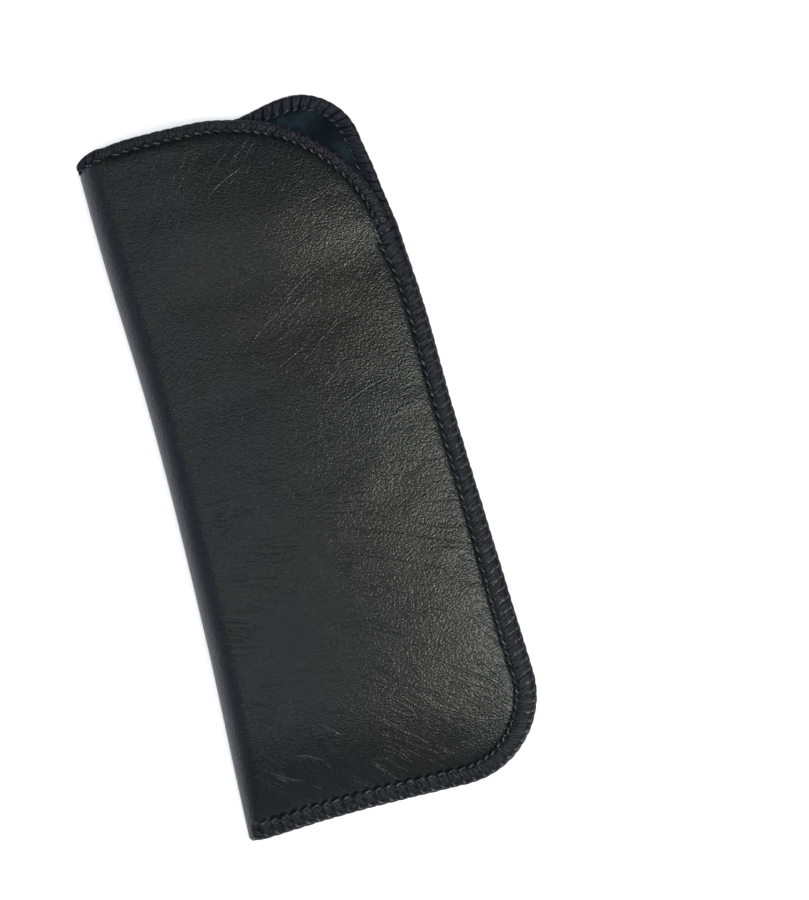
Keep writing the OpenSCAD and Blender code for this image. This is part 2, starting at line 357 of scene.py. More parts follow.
def front_height(x, y):
    """Front panel without its stitching: level at the fold, falling to the closing seam."""
    left = fold_x(y) + fold_height(y) / 2
    u = np.clip((x - left) / (side_x(y) - left), 0, 1)
    gape = LIP_LIFT * smooth((y - SEAM_END + 9) / 20) * smooth(u / 0.3)
    body = SEAM_HEIGHT + (fold_height(y) - SEAM_HEIGHT) * (1 - u**2.4) + gape
    calm = smooth(closing_distance(x, y) / 9) * smooth((MOUTH_Y + 4 - y) / 12)
    return body + puff(x, y) * calm + settled.lift(x, y)


# Creases pressed into the front: start, end, sideways bend and depth, in part coordinates
CREASES = [
    ((47, 25), (56, 17), -1.0, 0.9),
    ((55, 17.5), (67, 13), -1.2, 0.8),
    ((56, 17), (68, 20), -1.0, 0.6),
    ((61, 30), (68, 18), 0.8, 0.8),
    ((57, 28), (68, 18.5), 0.6, 0.9),
    ((64, 36), (69, 27), 0.5, 0.6),
    ((52, 31), (62, 22), 1.0, 0.6),
    ((15, 17), (23, 13.5), 0.6, 0.9),
    ((8.5, 15.5), (18, 10), -0.6, 0.9),
    ((23, 22.5), (28, 18), 0.4, 0.8),
    ((30, 26), (45, 12), 1.0, 0.5),
    ((20, 60), (30, 46), 1.0, 0.4),
    ((53, 71), (65, 78), -0.8, 0.8),
    ((46, 92), (64, 97), 1.2, 0.7),
    ((38, 118), (58, 127), 1.6, 0.7),
    ((40, 130), (58, 136), -1.2, 0.7),
    ((28, 146), (40, 152), 0.8, 0.6),
]


def stitch_pull(distance, band, way, pitch, edge_depth, edge_reach):
    """How far the overlock draws the surface in: a groove with needle holes, and a rounded raw edge."""
    hole = 0.5 + 0.5 * np.cos(2 * math.pi * (way / pitch - 0.5))
    off_line = distance - band - NEEDLE_OFFSET
    groove = (0.25 + 0.30 * hole) * np.exp(-((off_line / 0.6) ** 2))
    groove += 0.25 * np.exp(-((off_line / 1.6) ** 2))
    edge = edge_depth * np.clip((RAW_INSET + edge_reach - distance) / edge_reach, 0, 1) ** 2
    return groove + edge


def front_pull(x, y):
    """Pull of the stitching on the front panel."""
    near_seam = closing_distance(x, y)
    seam = stitch_pull(near_seam, closing_band(x, y), closing_way(x, y), CLOSING_PITCH, 1.25, 1.2)
    seam *= smooth((SEAM_END - y) / 6)
    lip = stitch_pull(lip_distance(x, y), MOUTH_BAND, lip_way(x, y), MOUTH_PITCH, 0.45, 0.6)
    return np.maximum(seam, lip * smooth((x - 4) / 6))


def front_sheet_height(x, y):
    """Outer face of the front cover, with its stitching and puckers."""
    near_seam = closing_distance(x, y)
    near_lip = lip_distance(x, y)
    pucker = 0.11 * pucker_wave(x, y) * np.exp(-(((near_seam - 8) / 4.5) ** 2))
    pucker += 0.10 * edge_wave(x, y) * np.exp(-(((near_lip - 6) / 4) ** 2))
    return front_height(x, y) - front_pull(x, y) + pucker


# Sheets
# ------------------------
def resample(curve, shares):
    """Points at given shares of a polyline's length."""
    curve = np.asarray(curve, float)
    s = ways(curve)
    t = shares * s[-1]
    return np.stack([np.interp(t, s, curve[:, k]) for k in range(curve.shape[1])], 1)


def shares(n, at_start, at_end, reach):
    """n numbers from 0 to 1, closer together near the ends: how many times closer, and how far in."""
    t = np.linspace(0, 1, 2001)
    density = 1 + (at_start - 1) * np.exp(-((t / reach) ** 4))
    density += (at_end - 1) * np.exp(-(((1 - t) / reach) ** 4))
    total = np.concatenate([[0], np.cumsum((density[1:] + density[:-1]) / 2)])
    return np.interp(np.linspace(0, 1, n), total / total[-1], t)


def arc(cx, cy, r, start, end, steps=40):
    a = np.radians(np.linspace(start, end, steps))
    return np.stack([cx + r * np.cos(a), cy + r * np.sin(a)], 1)


def coons(bottom, right, top, left, across, along):
    """Grid of points inside four edge curves, which run left to right and bottom to top."""
    u, v = across[None, :, None], along[:, None, None]
    bottom, top = resample(bottom, across), resample(top, across)
    right = resample(right, along)
    ruled = mix(bottom[None], top[None], v) + mix(left[:, None], right[:, None], u)
    corners = mix(mix(bottom[0], bottom[-1], u), mix(top[0], top[-1], u), v)
    return ruled - corners


def front_grid(across, along, inset):
    """Points in the plane of the front panel, lip included."""
    y_left = mix(inset, MOUTH_Y - LEVEL_DROP - inset, along)
    left = np.stack([fold_x(y_left) + fold_height(y_left) / 2, y_left], 1)
    bottom = np.concatenate([[left[0]], arc(CORNER_CX, CORNER_R, CORNER_R - inset, -90, -45)])
    ys = np.linspace(CORNER_R + 0.5, SEAM_END, 60)
    side = np.stack([side_x(ys) - lip_step(ys) - inset, ys], 1)
    right = np.concatenate([arc(CORNER_CX, CORNER_R, CORNER_R - inset, -45, 0), side])
    xs = np.linspace(left[-1, 0], LIP_CX, 30)
    level = np.stack([xs, MOUTH_Y - inset - LEVEL_DROP * (1 - smooth((xs - xs[0]) / LEVEL_REACH))], 1)
    end_angle = math.degrees(math.asin((SEAM_END - LIP_CY) / (LIP_R - inset)))
    curve = arc(LIP_CX, LIP_CY, LIP_R - inset, 90, end_angle, 60)[1:]
    curve[-1] = right[-1]
    top = np.concatenate([level, curve])
    return coons(bottom, right, top, left, across, along)


def fold_points(angles, along, depth, inset):
    """Columns of points round the fold at a depth below the outer face."""
    grid = np.zeros((len(along), len(angles), 3))
    for j, angle in enumerate(angles):
        y = mix(inset, fold_top(angle) - inset, along)
        r = fold_height(y) / 2
        round_way = LIP_START_X - math.pi * r * (1 - angle / math.pi)
        wave = puff(round_way, y) * smooth((math.degrees(angle) - 60) / 100)
        wave *= smooth((MOUTH_Y + 4 - y) / 12)
        at_bottom = y < LENGTH / 2
        band = np.where(at_bottom, 4.0, MOUTH_BAND + 0.6)
        from_end = np.minimum(y, fold_top(angle) - y)
        x = fold_x(y) + r * (1 - math.sin(angle))
        stitched = np.where(at_bottom, smooth((x - CLOSING_START + 0.9) / 1.0), 1.0)
        pressed = (sink(angle) + 0.25) * smooth((band + 0.8 - from_end) / 1.2) * stitched
        pressed += 0.5 * smooth((inset + 1.0 - from_end) / 1.0) ** 2
        keep = np.clip(r - depth, 0.06, None)
        d = r - keep
        d = np.maximum(d, np.minimum(pressed, 0.6) * (depth == 0))
        rr = r - d + wave
        grid[:, j, 0] = fold_x(y) + r - rr * math.sin(angle)
        grid[:, j, 1] = y
        grid[:, j, 2] = r - rr * math.cos(angle)
    return grid


def wrap_grid(nf, nu, nv, depth, inset=RAW_INSET):
    """The fold and the front panel as one grid, at a depth below the outer face."""
    angles = np.linspace(0, math.pi, nf)
    across, along = shares(nu, 1, 2.2, 0.17), shares(nv, 1.8, 1.8, 0.07)
    fold = fold_points(angles, along, depth, inset)
    start = fold[:, :1].copy()
    start[:, 0, 0] = FLAT_START
    half = (start + fold[:, :1]) / 2
    plane = front_grid(across, along, inset)
    x, y = plane[..., 0], plane[..., 1]
    if depth == 0:
        z = front_sheet_height(x, y)
    else:
        z = front_height(x, y) - depth - front_pull(x, y) * (1 - depth / LAMINATE)
    front = np.stack([x, y, z], 2)
    if depth > 0:
        join = smooth((x - x[:, :1]) / 8)
        front[..., 2] = mix(fold[:, -1:, 2], front[..., 2], join)
    return np.concatenate([start, half, fold, front[:, 1:]], 1)


def back_grid(nu, nv, depth, inset=RAW_INSET):
    """The flat back panel, whose stitched edges are pressed in from the table."""
    across, along = shares(nu, 1, 1.8, 0.17), shares(nv, 1.8, 1.8, 0.07)
    y_left = mix(inset, MOUTH_Y - LEVEL_DROP - inset, along)
    left = np.stack([np.full(nv, FLAT_START), y_left], 1)
    bottom = np.concatenate([[left[0]], arc(CORNER_CX, CORNER_R, CORNER_R - inset, -90, -45)])
    ys = np.linspace(CORNER_R + 0.5, LOBE_CY, 80)
    side = np.stack([side_x(ys) - inset, ys], 1)
    right = np.concatenate([
        arc(CORNER_CX, CORNER_R, CORNER_R - inset, -45, 0), side,
        arc(LOBE_CX, LOBE_CY, LOBE_R - inset, 0, 45),
    ])
    xs = np.linspace(FLAT_START, LOBE_CX, 60)
    level = np.stack([xs, mouth_y(xs) - inset], 1)
    level[0] = left[-1]
    top = np.concatenate([level, arc(LOBE_CX, LOBE_CY, LOBE_R - inset, 90, 45)])
    plane = coons(bottom, right, top, left, across, along)
    x, y = plane[..., 0], plane[..., 1]
    mouth_d, seam_d = back_mouth_distance(x, y), back_closing_distance(x, y)
    lift = 0.9 * np.clip((inset + 1.2 - seam_d) / 1.2, 0, 1) ** 2
    if depth == 0:
        z = RELIEF * np.maximum(
            smooth((LOBE_BAND + 1.3 - mouth_d) / 0.8), smooth((closing_band(x, y) + 1.3 - seam_d) / 0.8)
        )
        z += lift + 0.35 * np.clip((inset + 0.7 - mouth_d) / 0.7, 0, 1) ** 2
    elif depth == LAMINATE:
        groove = 0.35 * np.exp(-(((mouth_d - LOBE_BAND - NEEDLE_OFFSET) / 0.8) ** 2))
        edge = 0.5 * smooth((inset + 1.0 - mouth_d) / 1.0) ** 2
        inside = smooth((LENGTH / 2 - 10 - np.abs(y - LENGTH / 2)) / 8) * smooth((seam_d - 6) / 6)
        z = depth - groove - edge + 0.12 * soft_wave(x * 1.7, y * 1.3) * inside
    else:
        z = depth + lift * (1 - depth / LAMINATE)
    return np.stack([x, y, z], 2)


def shell(name, outer, inner, flip=False):
    """Closed mesh between two grids of the same shape."""
    n, m = outer.shape[:2]
    ids = np.arange(n * m).reshape(n, m)
    under = ids + n * m

    def quads(g, reverse):
        q = np.stack([g[:-1, :-1], g[:-1, 1:], g[1:, 1:], g[1:, :-1]], 2).reshape(-1, 4)
        return q[:, ::-1] if reverse else q

    def rim(a, b):
        return np.stack([a[:-1], b[:-1], b[1:], a[1:]], 1)

    faces = np.concatenate([
        quads(ids, False), quads(under, True),
        rim(ids[0], under[0]), rim(under[-1], ids[-1]),
        rim(under[:, 0], ids[:, 0]), rim(ids[:, -1], under[:, -1]),
    ])
    if flip:
        faces = faces[:, ::-1]
    points = to_scene(np.concatenate([outer.reshape(-1, 3), inner.reshape(-1, 3)]))
    return mesh_object(name, points, faces)


def mesh_object(name, points, faces):
    mesh = bpy.data.meshes.new(name)
    mesh.from_pydata(np.asarray(points).tolist(), [], [list(map(int, f)) for f in faces])
    mesh.validate()
    mesh.shade_smooth()
    obj = bpy.data.objects.new(name, mesh)
    bpy.context.scene.collection.objects.link(obj)
    return obj


# Overlock threads
# ------------------------
def under_limit(h):
    """Height above the face on the side that rests on the table, where thread lies flattened."""
    return np.where(h > 0, h * 0.5, h)


class ClosingRun:
    """The run that sews front to back: along the bottom, round the corner and up the side."""

    def __init__(self):
        bottom = np.array([[x, 0, x, 0, 0, -1] for x in np.linspace(CLOSING_START, CORNER_CX, 40)])
        a = np.radians(np.linspace(0, 90, 60)[1:])
        cx, cy = CORNER_CX + CORNER_R * np.sin(a), CORNER_R - CORNER_R * np.cos(a)
        corner = np.stack([cx, cy, cx, cy, np.sin(a), -np.cos(a)], 1)
        ys = np.linspace(CORNER_R, SEAM_END + 2.0, 120)[1:]
        back_x = side_x(ys)
        front_x = back_x - lip_step(ys)
        side = np.stack([front_x, ys, back_x, ys, np.ones_like(ys), np.zeros_like(ys)], 1)
        self.table = np.concatenate([bottom, corner, side])
        self.s = ways(self.table[:, 2:4])
        self.length = self.s[-1]
        self.pitch = CLOSING_PITCH

    def band(self, s):
        return closing_band(*(np.interp(s, self.s, self.table[:, k]) for k in (2, 3)))

    def stack(self, s):
        return np.full_like(s, SEAM_HEIGHT - RELIEF)

    def place(self, s, o, h, side):
        """Points at a way s along the run, o in from its edge and h above the outer face."""
        fx, fy, bx, by, nx, ny = (np.interp(s, self.s, self.table[:, k]) for k in range(6))
        size = np.hypot(nx, ny)
        nx, ny = nx / size, ny / size
        if side == "front":
            reach = smooth(o / 3.0)
            x, y = mix(bx, fx, reach) - nx * o, mix(by, fy, reach) - ny * o
            top = front_height(x, y)
            down = np.clip(-h / (self.stack(s) / 2), 0, 1.2)
            z = np.where(h < 0, mix(top, RELIEF + self.stack(s) / 2, down), top + h)
            return np.stack([x, y, z], -1)
        x, y = bx - nx * o, by - ny * o
        return np.stack([x, y, RELIEF - under_limit(h)], -1)


def edge_rows(x, y, out_x, out_y):
    """Rows of a sewn edge: its points, and the way out from them."""
    return np.stack(np.broadcast_arrays(x, y, out_x, out_y), 1)


class MouthRun:
    """The run round the mouth: down the back's side, over the lobe, round the fold and along the lip."""

    def __init__(self):
        ys = np.linspace(SEAM_END - 2.0, LOBE_CY, 40)
        side = edge_rows(side_x(ys), ys, 1, 0)
        a = np.radians(np.linspace(0, 90, 40)[1:])
        ex, ey = np.cos(a), np.sin(a)
        corner = edge_rows(LOBE_CX + LOBE_R * ex, LOBE_CY + LOBE_R * ey, ex, ey)
        back_end = float(fold_x(MOUTH_Y) + CASE_HEIGHT / 2)
        xs = np.linspace(LOBE_CX, back_end, 80)[1:]
        level = edge_rows(xs, mouth_y(xs), 0, 1)
        self.back = np.concatenate([side, corner, level])
        self.back_s = ways(self.back[:, :2])
        self.fold_length = math.pi * CASE_HEIGHT / 2
        xs = np.linspace(back_end, LIP_CX, 40)
        y_level = MOUTH_Y - LEVEL_DROP * (1 - smooth((xs - back_end) / LEVEL_REACH))
        level = edge_rows(xs, y_level, 0, 1)
        a = np.radians(np.linspace(90, math.degrees(LIP_END_ANGLE) - 2.0, 80)[1:])
        ex, ey = np.cos(a), np.sin(a)
        curve = edge_rows(LIP_CX + LIP_R * ex, LIP_CY + LIP_R * ey, ex, ey)
        self.lip = np.concatenate([level, curve])
        self.lip_s = ways(self.lip[:, :2])
        self.fold_start = self.back_s[-1]
        self.lip_start = self.fold_start + self.fold_length
        self.length = self.lip_start + self.lip_s[-1]
        self.pitch = MOUTH_PITCH

    def band(self, s):
        return np.where(s < self.fold_start, LOBE_BAND, MOUTH_BAND)

    def stack(self, s):
        return np.where(s < self.fold_start, LAMINATE - RELIEF, LAMINATE)

    def place(self, s, o, h, side):
        out = np.zeros(np.shape(s) + (3,))
        for part in ("back", "fold", "lip"):
            if part == "back":
                pick = s < self.fold_start
            elif part == "fold":
                pick = (s >= self.fold_start) & (s < self.lip_start)
            else:
                pick = s >= self.lip_start
            if pick.any():
                out[pick] = getattr(self, "_" + part)(s[pick], o[pick], h[pick], side)
        return out

    def _plane(self, s, o, table, way):
        ex, ey, nx, ny = (np.interp(s, way, table[:, k]) for k in range(4))
        size = np.hypot(nx, ny)
        return ex - nx / size * o, ey - ny / size * o

    def _back(self, s, o, h, side):
        x, y = self._plane(s, o, self.back, self.back_s)
        z = RELIEF - under_limit(h) if side == "front" else LAMINATE + h
        return np.stack([x, y, z], -1)

    def _fold(self, s, o, h, side):
        angle = (s - self.fold_start) / self.fold_length * math.pi
        y = fold_top(angle) - o
        r = fold_height(y) / 2
        above = mix(under_limit(h), h, smooth(angle))
        rr = r - sink(angle) + above if side == "front" else r - LAMINATE - h
        return np.stack([fold_x(y) + r - rr * np.sin(angle), y, r - rr * np.cos(angle)], -1)

    def _lip(self, s, o, h, side):
        x, y = self._plane(s - self.lip_start, o, self.lip, self.lip_s)
        z = front_height(x, y) + (h if side == "front" else -LAMINATE - h)
        return np.stack([x, y, z], -1)


def smooth_path(points, rounds=2):
    """Rounds a path's corners off by cutting them."""
    for _ in range(rounds):
        a, b = points[:-1], points[1:]
        cut = np.stack([0.75 * a + 0.25 * b, 0.25 * a + 0.75 * b], 1).reshape(-1, points.shape[1])
        points = np.concatenate([points[:1], cut, points[-1:]])
    return points


def tube(path, radius, sides=6):
    """Points and faces of a closed tube along a path, with a frame that doesn't twist."""
    n = len(path)
    way = np.gradient(path, axis=0)
    way /= np.linalg.norm(way, axis=1)[:, None] + 1e-12
    axis = np.cross(way[0], [0.31, 0.17, 0.93])
    axis /= np.linalg.norm(axis)
    a = np.linspace(0, 2 * math.pi, sides, endpoint=False)
    rings = np.zeros((n, sides, 3))
    radius = np.broadcast_to(radius, (n,))
    for i in range(n):
        axis = axis - way[i] * np.dot(axis, way[i])
        axis /= np.linalg.norm(axis)
        other = np.cross(way[i], axis)
        rings[i] = path[i] + radius[i] * (np.cos(a)[:, None] * axis + np.sin(a)[:, None] * other)
    points = np.concatenate([rings.reshape(-1, 3), path[:1], path[-1:]])
    i = np.arange(n - 1)[:, None] * sides
    k = np.arange(sides)[None, :]
    k2 = (k + 1) % sides
    faces = np.stack([i + k, i + k2, i + k2 + sides, i + k + sides], 2).reshape(-1, 4).tolist()
    last = (n - 1) * sides
    for j in range(sides):
        faces.append([(j + 1) % sides, j, n * sides])
        faces.append([last + j, last + (j + 1) % sides, n * sides + 1])
    return points, faces


def thread_object(name, tubes):
    points, faces, base = [], [], 0
    for p, f in tubes:
        points.append(p)
        faces += [[v + base for v in q] for q in f]
        base += len(p)
    return mesh_object(name, to_scene(np.concatenate(points)), faces)


# Where the roll of thread is highest, in from its edge, as a share of the stack that it binds
ROLL_SHARE = 0.38
EDGE_GAP = -0.08


def leg_path(band, stack, style):
    """One leg of a looper stitch, from halfway down the edge to its turn round the needle: rows of
    distance in from the edge, height above the face, and how wide its strands lie."""
    rise = style["rise"]
    top = min(ROLL_SHARE * stack + 0.15, 0.6 * band)
    rows = []
    for turn in np.radians([style["deep"], 62, 42, 24, 8]):
        o = top - (top - EDGE_GAP) * math.sin(turn)
        h = rise - (stack / 2 + rise) * (1 - math.cos(turn))
        rows.append((o, h, mix(1.0, style["spread"], math.sin(turn) ** 3)))
    for share in (0.35, 0.65, 0.88, 1.0):
        h = rise * math.cos(share * math.pi / 2) ** 0.7 + 0.05 * share
        rows.append((mix(top, band + NEEDLE_TURN, share), h, mix(1.0, 0.55, share**1.5)))
    return rows


# How far the strands turn past the needle line, and how much lower a bundle's outer strands lie
NEEDLE_TURN = 0.15
BUNDLE_ARCH = 0.13
STRANDS = 4
# Where a leg lies along its stitch, at the edge and at the needle line, going in and coming out
LEG_IN = (0.27, 0.36)
LEG_OUT = (0.69, 0.62)


def looper_paths(run, side, first, last, style):
    """Paths of a looper thread's strands: for each stitch, in over the edge, round the needle, and out."""
    rows = []
    for k in range(first, last):
        middle = np.array([(k + 0.5) * run.pitch])
        leg = leg_path(float(run.band(middle)[0]), float(run.stack(middle)[0]), style)
        for table, (edge, needle) in ((leg, LEG_IN), (leg[::-1], LEG_OUT)):
            swing, lift, off = rng.uniform(-1, 1, 3)
            for o, h, width in table:
                reach = np.clip(o / leg[-1][0], 0, 1)
                at = mix(edge, needle, reach) - style["lean"] * reach + 0.10 * swing * reach
                rows.append((k + at, o + 0.05 * off, h + 0.06 * lift * reach, width, reach))
    rows = smooth_path(np.array(rows), 1)
    s = rows[:, 0] * run.pitch
    keep = (s > 0.02) & (s < run.length - 0.02)
    rows, s = rows[keep], s[keep]
    paths = []
    for j in range(STRANDS):
        across = j - (STRANDS - 1) / 2
        twist = np.sin(rows[:, 0] * 2 * math.pi * 1.3 + j * 2.1)
        o = rows[:, 1] + 0.04 * across**2 * (1 - rows[:, 4])
        h = rows[:, 2] - BUNDLE_ARCH * across**2 * (0.4 + 0.6 * rows[:, 4]) + 0.05 * twist
        at = np.clip(s + across * style["spacing"] * rows[:, 3], 0, run.length)
        paths.append(run.place(at, o, h, side))
    return paths


# One needle stitch: share of the pitch, and height above the face
NEEDLE_STITCH = [
    (0.10, -0.55), (0.13, -0.15), (0.24, 0.14), (0.40, 0.27), (0.56, 0.24), (0.70, 0.02), (0.76, -0.5),
]


def needle_paths(run, first, last, radius, side="front"):
    """The needle thread: two plies, stitched from each hole to the next and leaning away from the edge."""
    rows = smooth_path(np.array(NEEDLE_STITCH), 1)
    paths = []
    for k in range(first, last):
        s = np.clip((k + 0.5 + rows[:, 0]) * run.pitch, 0, run.length)
        lean = NEEDLE_OFFSET - 0.28 + 0.75 * rows[:, 0] + 0.07 * rng.uniform(-1, 1)
        lift = rows[:, 1] * (1 + 0.15 * rng.uniform(-1, 1))
        for ply in (0, math.pi):
            twist = ply + rows[:, 0] * 2 * math.pi * 1.25
            o = run.band(s) + lean + 0.6 * radius * np.cos(twist)
            h = lift + 0.6 * radius * np.sin(twist)
            paths.append(run.place(s, o, h, side))
    return paths


# Materials
# ------------------------
BLACK, WHITE = 0.0, 1.0


def set_stops(ramp, stops):
    """Fills a colour ramp with stops, each a place and a grey or a colour."""
    while len(ramp.elements) < len(stops):
        ramp.elements.new(0.5)
    for element, (place, colour) in zip(ramp.elements, stops):
        element.position = place
        element.color = (*colour, 1) if isinstance(colour, tuple) else (colour, colour, colour, 1)


class Nodes:
    """Short hand for building a material's node tree."""

    def __init__(self, name):
        self.material = bpy.data.materials.new(name)
        self.material.use_nodes = True
        self.tree = self.material.node_tree
        self.shader = self.tree.nodes["Principled BSDF"]
        self.coords = self.add("ShaderNodeTexCoord").outputs["Object"]

    def add(self, kind, inputs=None, **settings):
        """Adds a node. An input is a value, or the socket that feeds it."""
        node = self.tree.nodes.new(kind)
        for key, value in settings.items():
            setattr(node, key, value)
        self.fill(node, inputs or {})
        return node

    def fill(self, node, inputs):
        for key, value in inputs.items():
            if isinstance(value, bpy.types.NodeSocket):
                self.tree.links.new(value, node.inputs[key])
            else:
                node.inputs[key].default_value = value

    def surface(self, inputs):
        self.fill(self.shader, inputs)

    def ramp(self, source, stops):
        node = self.add("ShaderNodeValToRGB", {0: source})
        set_stops(node.color_ramp, stops)
        return node.outputs[0]

    def xy(self, vector):
        split = self.add("ShaderNodeSeparateXYZ", {0: vector})
        return split.outputs["X"], split.outputs["Y"]

    def math(self, operation, a, b=0.0):
        return self.add("ShaderNodeMath", {0: a, 1: b}, operation=operation).outputs[0]

    def total(self, *terms):
        """Sum of sockets, each with its weight."""
        result = None
        for socket, weight in terms:
            term = self.math("MULTIPLY", socket, weight)
            result = term if result is None else self.math("ADD", result, term)
        return result

    def mix(self, factor, a, b, blend_type="MIX"):
        inputs = {"Factor": factor, 6: a, 7: b}
        return self.add("ShaderNodeMix", inputs, data_type="RGBA", blend_type=blend_type).outputs[2]

    def noise(self, vector, scale, detail):
        inputs = {"Vector": vector, "Scale": scale, "Detail": detail}
        return self.add("ShaderNodeTexNoise", inputs).outputs["Fac"]

    def facing(self):
        """How far the surface turns away from the viewer, from 0 to 1."""
        return self.add("ShaderNodeLayerWeight", {"Blend": 0.5}).outputs["Facing"]

    def bump(self, height, strength, distance):
        inputs = {"Height": height, "Strength": strength, "Distance": distance}
        self.surface({"Normal": self.add("ShaderNodeBump", inputs).outputs[0]})


# The leather's marks fan out from the fold: the height that they spread from, and how fast they
# spread per millimetre
FAN_CENTRE = 78.0
FAN_SPREAD = 0.014
# Unevenness of the marks: scale, and how far it moves them in metres
WARP_SCALE, WARP_REACH = 420.0, 0.0006
# Pebble grain: cells per metre, stretch along x and y, and the turn of the stretch in degrees
PEBBLE_SCALE, PEBBLE_STRETCH, PEBBLE_TURN = 2100.0, (0.9, 1.15, 1.0), 8
# Soft wrinkles: scale, stretch along the line, and where they grow towards the seam, in metres
WRINKLE_SCALE, WRINKLE_ALONG = 1250.0, 0.13
WRINKLE_START, WRINKLE_FULL, WRINKLE_LEAST = 0.030, 0.066, 0.12
# Sparse fine creases: scale, stretch along the line, width, strength, and scale of their patches
CREASE_LAYERS = [(150.0, 0.12, 0.008, 0.34, 45.0), (420.0, 0.10, 0.012, 0.34, 90.0)]
# Half the reach of a listed crease across its line, in millimetres
CREASE_REACH = 1.1
CREASE_SECTION = [(0.0, 0.5), (0.34, 0.5), (0.45, 0.1), (0.57, 1.0), (0.76, 0.5)]
CREASE_FADE = [(0.0, BLACK), (0.3, WHITE), (0.7, WHITE), (1.0, BLACK)]


def fan_coordinates(n, coords, along):
    """Coordinates whose lines fan out from the fold towards the closing seam."""
    x, y = n.xy(coords)
    from_fold = n.math("ADD", x, WIDTH / 2 * MM)
    spread = n.math("POWER", math.e, n.math("MULTIPLY", from_fold, -FAN_SPREAD / MM))
    line = n.math("MULTIPLY", n.math("SUBTRACT", y, (FAN_CENTRE - LENGTH / 2) * MM), spread)
    joined = n.add("ShaderNodeCombineXYZ", {0: n.math("MULTIPLY", x, along), 1: line})
    return joined.outputs[0], from_fold


def pressed_creases(n, coords):
    """Height of the listed creases: each is a bent line, a valley with a ridge beside it."""
    height = 0.0
    for (x0, y0), (x1, y1), bend, depth in CREASES:
        start = ((x0 - WIDTH / 2) * MM, (y0 - LENGTH / 2) * MM, 0)
        turn = (0, 0, math.atan2(y1 - y0, x1 - x0))
        size = (math.hypot(x1 - x0, y1 - y0) * MM, 2 * CREASE_REACH * MM, 1)
        inputs = {"Vector": coords, "Location": start, "Rotation": turn, "Scale": size}
        placed = n.add("ShaderNodeMapping", inputs, vector_type="TEXTURE")
        along, across = n.xy(placed.outputs[0])
        arch = n.math("MULTIPLY", along, n.math("SUBTRACT", 1.0, along))
        line = n.math("SUBTRACT", across, n.math("MULTIPLY", arch, 2 * bend / CREASE_REACH))
        section = n.math("SUBTRACT", n.ramp(n.math("ADD", line, 0.5), CREASE_SECTION), 0.5)
        fade = n.math("MULTIPLY", n.ramp(along, CREASE_FADE), depth)
        height = n.math("ADD", n.math("MULTIPLY", section, fade), height)
    return height


def sparse_creases(n, coords):
    """Long fine creases in patches, one height for each layer."""
    for scale, along, width, strength, patch in CREASE_LAYERS:
        lines, _ = fan_coordinates(n, coords, along)
        middle = n.math("ABSOLUTE", n.math("SUBTRACT", n.noise(lines, scale, 2.0), 0.5))
        crease = n.ramp(middle, [(0.0, WHITE), (width, BLACK)])
        where = n.ramp(n.noise(n.coords, patch, 1.0), [(0.46, BLACK), (0.60, WHITE)])
        yield n.math("MULTIPLY", n.math("MULTIPLY", crease, where), strength)


def leather_material():
    """Embossed vinyl: pebble grain, soft wrinkles towards the seam, and fine sharp creases. Its colour
    carries painted highlights on the pebble tops and crease ridges, painted shade between the pebbles, and a
    painted blue reflection where it turns away.
    """
    n = Nodes("cover_vinyl")
    warp = n.add("ShaderNodeTexNoise", {"Vector": n.coords, "Scale": WARP_SCALE, "Detail": 2.0})
    shift = {0: warp.outputs["Color"], "Scale": WARP_REACH}
    shift = n.add("ShaderNodeVectorMath", shift, operation="SCALE").outputs[0]
    shifted = n.add("ShaderNodeVectorMath", {0: n.coords, 1: shift}, operation="ADD").outputs[0]

    turn = (0, 0, math.radians(PEBBLE_TURN))
    stretch = {"Vector": shifted, "Scale": PEBBLE_STRETCH, "Rotation": turn}
    cells = {"Vector": n.add("ShaderNodeMapping", stretch).outputs[0], "Scale": PEBBLE_SCALE}
    pebbles = n.add("ShaderNodeTexVoronoi", feature="SMOOTH_F1")
    n.fill(pebbles, {**cells, "Smoothness": 0.6})
    pebbles = pebbles.outputs["Distance"]

    lines, from_fold = fan_coordinates(n, shifted, WRINKLE_ALONG)
    folds = n.math("ABSOLUTE", n.math("SUBTRACT", n.noise(lines, WRINKLE_SCALE, 2.0), 0.5))
    growth = {0: from_fold, 1: WRINKLE_START, 2: WRINKLE_FULL, 3: WRINKLE_LEAST, 4: 1.0}
    wrinkles = n.math("MULTIPLY", folds, n.add("ShaderNodeMapRange", growth).outputs[0])

    height = n.total((pebbles, -0.72), (wrinkles, 0.9), (n.noise(n.coords, 3200.0, 2.0), 0.14))
    for crease in sparse_creases(n, shifted):
        height = n.math("ADD", height, crease)
    pressed = pressed_creases(n, shifted)
    n.bump(n.math("ADD", height, pressed), 0.8, 0.00015)

    dark, plain, light = (0.0034, 0.0038, 0.0042), (0.0045, 0.0047, 0.0045), (0.0058, 0.0055, 0.0052)
    colour = n.ramp(n.noise(n.coords, 28.0, 3.0), [(0.3, dark), (0.5, plain), (0.7, light)])
    # Painted highlight and shade: the pebble tops are coloured up to 2.6 times lighter and the hollows
    # between them darker.
    colour = n.mix(1.0, colour, n.ramp(pebbles, [(0.0, 2.6), (0.5, 0.6)]), "MULTIPLY")
    facing = n.facing()
    # Painted reflection: the base colour turns blue where the surface turns away from the viewer, standing in
    # for a bluish reflection along the fold.
    painted_blue_sheen = n.ramp(facing, [(0.15, BLACK), (0.75, WHITE)])
    colour = n.mix(painted_blue_sheen, colour, (0.0060, 0.0074, 0.0150, 1))
    # Painted highlight: the raised side of each pressed crease is coloured lighter.
    painted_ridge_highlight = n.ramp(pressed, [(0.06, BLACK), (0.40, WHITE)])
    colour = n.mix(painted_ridge_highlight, colour, (0.017, 0.0175, 0.0165, 1))
    n.surface({
        "Base Color": colour,
        "Specular IOR Level": n.ramp(facing, [(0.30, 0.45), (0.64, 0.18)]),
        "Roughness": n.ramp(pebbles, [(0.0, 0.25), (0.6, 0.37)]),
    })
    return n.material


